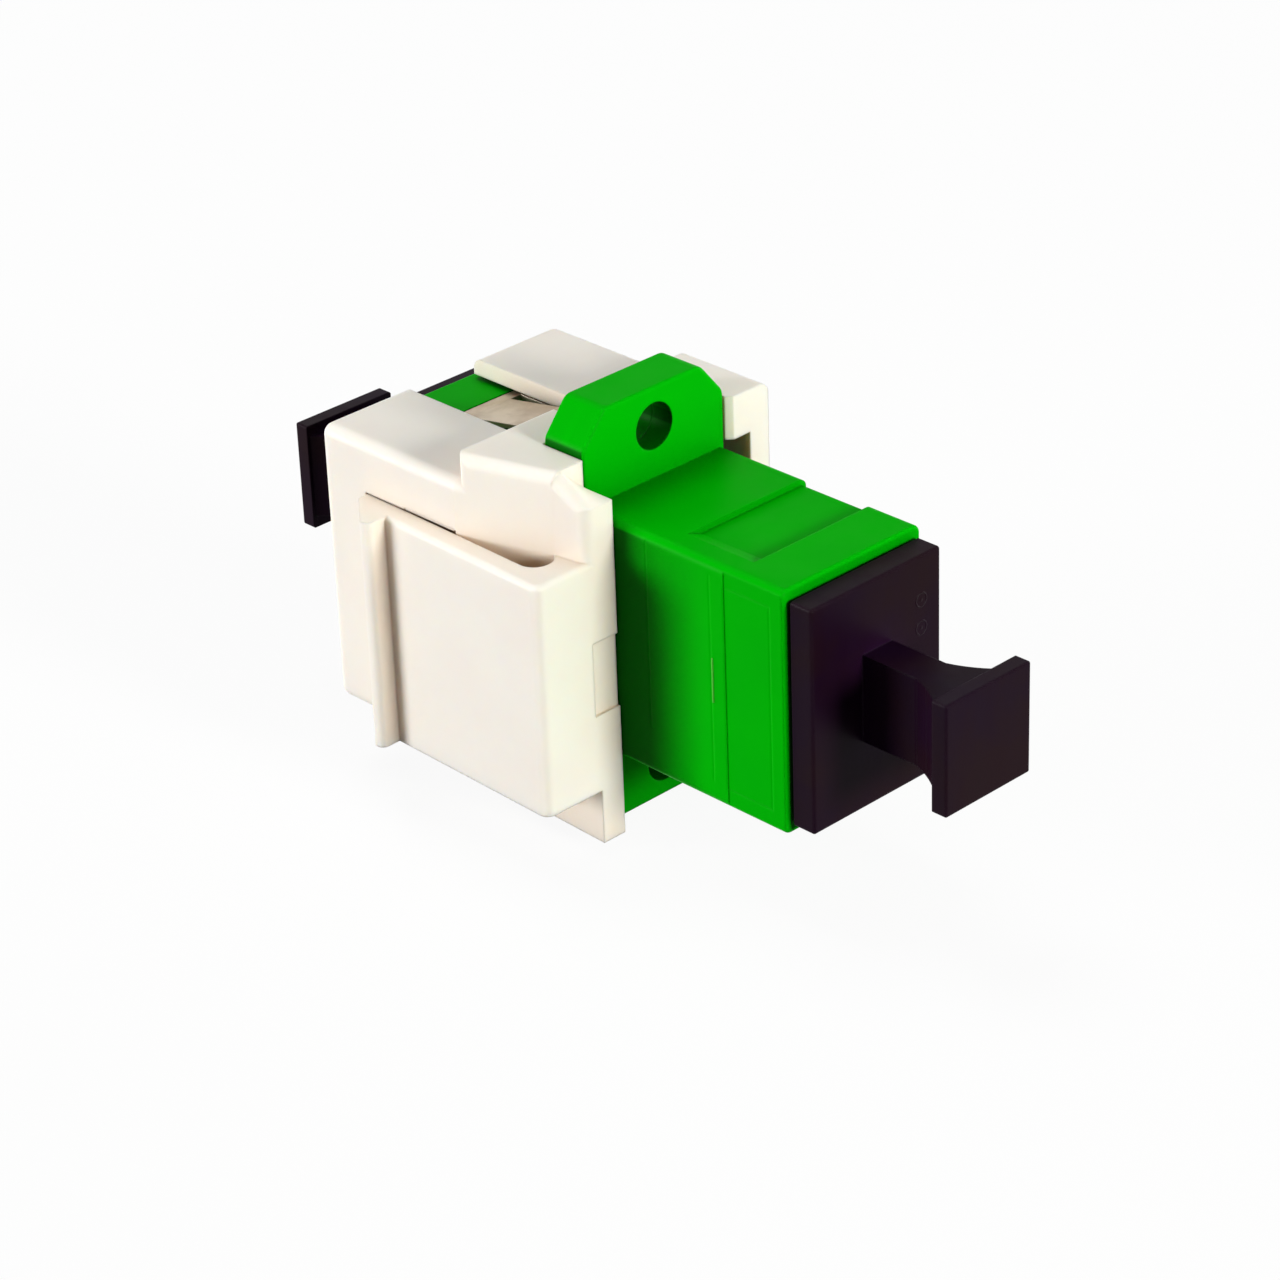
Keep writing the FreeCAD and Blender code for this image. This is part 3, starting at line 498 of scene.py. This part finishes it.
def bead(name, centre, half_length, half_width, proud):
    """A long low rounded bead on a side face, along Z, as a trimmed gate leaves."""
    straight = half_length - half_width
    points = []
    for step in range(1, BEAD_STEPS):
        polar = math.pi * step / BEAD_STEPS
        end = (step < BEAD_STEPS / 2) - (step > BEAD_STEPS / 2)    # 0 in the bead's middle
        for segment in range(BEAD_SEGMENTS):
            turn = 2.0 * math.pi * segment / BEAD_SEGMENTS
            points.append((math.sin(polar) * math.cos(turn) * half_width,
                           math.sin(polar) * math.sin(turn) * proud,
                           math.cos(polar) * half_width + end * straight))
    top, bottom = len(points), len(points) + 1
    points += [(0.0, 0.0, half_length), (0.0, 0.0, -half_length)]
    last = top - BEAD_SEGMENTS
    faces = []
    for i in range(BEAD_SEGMENTS):
        k = (i + 1) % BEAD_SEGMENTS
        faces.append((top, i, k))
        faces += [(row + i, row + BEAD_SEGMENTS + i, row + BEAD_SEGMENTS + k, row + k)
                  for row in range(0, last, BEAD_SEGMENTS)]
        faces.append((last + i, bottom, last + k))
    piece = add_mesh(name, [Vector(point) + Vector(centre) for point in points], faces)
    piece.data.shade_smooth()
    return piece


def ledge(name, plan, low_z, high_z, round_off):
    """A small ledge with softened edges: plan is its outline seen from above."""
    form = bmesh.new()
    count = len(plan)
    under = [form.verts.new((x, y, low_z)) for x, y in plan]
    over = [form.verts.new((x, y, high_z)) for x, y in plan]
    form.faces.new(list(reversed(under)))
    form.faces.new(over)
    for i in range(count):
        k = (i + 1) % count
        form.faces.new((under[i], under[k], over[k], over[i]))
    bmesh.ops.recalc_face_normals(form, faces=form.faces)
    bmesh.ops.bevel(form, geom=form.edges[:], offset=round_off, segments=LEDGE_ROUND_STEPS,
                    profile=ROUND_PROFILE, affect="EDGES")
    mesh = bpy.data.meshes.new(name)
    form.to_mesh(mesh)
    form.free()
    return add_object(name, mesh)


# The wall's own ledge, over the latch arm's edge, closes the view into the pocket behind.
# Its outline is measured from the carrier's rear and from the crest of the catch rib.
LEDGE_REAR, LEDGE_OUTER_FRONT, LEDGE_INNER_FRONT = 6.03 * MM, 9.55 * MM, 8.29 * MM
LEDGE_OUTER, LEDGE_INNER = 2.23 * MM, 3.36 * MM
LEDGE_LOW_Z, LEDGE_HIGH_Z = 4.78 * MM, 4.93 * MM
LEDGE_ROUND_OFF = 0.03 * MM
rear_x, crest_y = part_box("mount_frame")[0][:2]
ledge_plan = [(rear_x + LEDGE_REAR, crest_y + LEDGE_OUTER),
              (rear_x + LEDGE_OUTER_FRONT, crest_y + LEDGE_OUTER),
              (rear_x + LEDGE_INNER_FRONT, crest_y + LEDGE_INNER),
              (rear_x + LEDGE_REAR, crest_y + LEDGE_INNER)]
slot_ledge = ledge("slot_ledge", ledge_plan, LEDGE_LOW_Z, LEDGE_HIGH_Z, LEDGE_ROUND_OFF)
slot_ledge.data.materials.append(ivory.mat)
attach(slot_ledge, "adapter")

# The trimmed gate, on the front barrel's left side face.
GATE_X, GATE_Z = 8.15 * MM, 0.24 * MM
GATE_HALF_LENGTH, GATE_HALF_WIDTH, GATE_PROUD = 1.18 * MM, 0.055 * MM, 0.06 * MM
side_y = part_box("front_housing")[0][1]
gate = bead("gate_vestige", (GATE_X, side_y, GATE_Z), GATE_HALF_LENGTH, GATE_HALF_WIDTH,
            GATE_PROUD)
gate.data.materials.append(gate_mark.mat)
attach(gate, "adapter")


# ------------------------------------------------------------- floor and lights

FLOOR_GAP = 0.02 * MM
FLOOR_HALF = 3                # metres
FLOOR_NOISE = {"scale": 60.0, "detail": 2.0, "rough": 0.5}
FLOOR_SPAN = (0.3, 0.7)
FLOOR_TONES = (0.90, 0.92)
FLOOR_ROUGHNESS = 0.9
FLOOR_GLOW = 0.92             # the share of plain white in what is seen of the floor
BOUNCE = 0.15                 # the grey that lights the object from the floor
AMBIENT = 0.06
BACKDROP = 1.0                # white


def grey(value):
    return opaque((value, value, value))


def white_stage(name):
    """White for the camera and in gloss, with the object's shadow; a soft grey bounce."""
    g = Paint(name)
    tone = g.span(g.noise(**FLOOR_NOISE), *FLOOR_SPAN, 0.0, 1.0)
    g.set("Base Color", g.mix(tone, *[grey(value) for value in FLOOR_TONES]))
    g.set("Roughness", FLOOR_ROUGHNESS)
    glow = g.add("ShaderNodeEmission")
    glow.inputs["Color"].default_value = opaque(WHITE)
    glow.inputs["Strength"].default_value = 1.0
    bounce = g.add("ShaderNodeBsdfDiffuse")
    bounce.inputs["Color"].default_value = grey(BOUNCE)
    lit = g.blend(FLOOR_GLOW, g.shader.outputs["BSDF"], glow.outputs["Emission"])
    g.link(g.blend(g.seen(), bounce.outputs["BSDF"], lit), g.out.inputs["Surface"])
    return g.mat


floor_z = cad_box[0][2] - FLOOR_GAP
floor = add_mesh("floor", [(-FLOOR_HALF, -FLOOR_HALF, floor_z), (FLOOR_HALF, -FLOOR_HALF, floor_z),
                           (FLOOR_HALF, FLOOR_HALF, floor_z), (-FLOOR_HALF, FLOOR_HALF, floor_z)],
                 [(0, 1, 2, 3)])
floor.data.materials.append(white_stage("floor_paint"))

world = bpy.data.worlds.new("studio")
bpy.context.scene.world = world
sky = Graph(world)
world_out = sky.add("ShaderNodeOutputWorld")
skies = []
for strength in (AMBIENT, BACKDROP):
    background = sky.add("ShaderNodeBackground")
    background.inputs["Color"].default_value = opaque(WHITE)
    background.inputs["Strength"].default_value = strength
    skies.append(background.outputs["Background"])
sky.link(sky.blend(sky.seen(), *skies), world_out.inputs["Surface"])

LAMP_DISTANCE = 0.60


def soft_lamp(name, azimuth, elevation, size, level, colour=WHITE):
    """A round soft lamp aimed at the origin; level is what it gives a face turned to it."""
    data = bpy.data.lights.new(name, "AREA")
    data.shape = "DISK"
    data.size = size
    data.energy = level * math.pi ** 2 * LAMP_DISTANCE ** 2
    data.color = colour
    lamp = add_object(name, data)
    turn, rise = math.radians(azimuth), math.radians(elevation)
    place = Vector((math.cos(turn) * math.cos(rise), math.sin(turn) * math.cos(rise),
                    math.sin(rise))) * LAMP_DISTANCE
    lamp.location = place
    lamp.rotation_euler = (-place).to_track_quat("-Z", "Y").to_euler()


# Azimuth and elevation in degrees, the disk's width in metres, the level, and any colour.
soft_lamp("left_lamp", -125.5, 5.0, 0.30, 1.38)
soft_lamp("top_lamp", 175.0, 68.0, 0.30, 0.39, (0.97, 0.99, 1.0))
soft_lamp("front_lamp", 1.5, 16.0, 0.16, 1.00, (1.0, 1.0, 0.96))
soft_lamp("right_lamp", 80.0, 3.0, 0.30, 0.60)


# ----------------------------------------------------------------------- camera

# The view that was fitted to the photograph. Lengths are in mm, and the camera's clips in m.
AZIMUTH = math.radians(46.506)
ELEVATION = math.radians(28.212)
ROLL = math.radians(-2.165)
SHIFT = (0.97, 2.15)          # how far the origin lies from the picture's middle
DISTANCE = 197.88
FOCAL_PX = 4115.3
IMAGE_PX = 1280.0
SENSOR_WIDTH = 36.0
CLIP_START, CLIP_END = 0.01, 20.0

right = Vector((math.cos(AZIMUTH), math.sin(AZIMUTH), 0.0))
back = Vector((math.sin(AZIMUTH) * math.cos(ELEVATION),
               -math.cos(AZIMUTH) * math.cos(ELEVATION), math.sin(ELEVATION)))
up = back.cross(right)
cos_roll, sin_roll = math.cos(ROLL), math.sin(ROLL)
view_x = right * cos_roll + up * sin_roll
view_y = up * cos_roll - right * sin_roll
centre = (back * DISTANCE - view_x * SHIFT[0] - view_y * SHIFT[1]) * MM

camera_data = bpy.data.cameras.new("camera")
camera_data.sensor_width = SENSOR_WIDTH
camera_data.lens = FOCAL_PX / IMAGE_PX * SENSOR_WIDTH
camera_data.clip_start = CLIP_START
camera_data.clip_end = CLIP_END
camera = add_object("camera", camera_data)
camera_turn = Matrix((view_x, view_y, back)).transposed().to_4x4()
camera.matrix_world = Matrix.Translation(centre) @ camera_turn
bpy.context.scene.camera = camera
bpy.context.scene.view_settings.view_transform = "Standard"
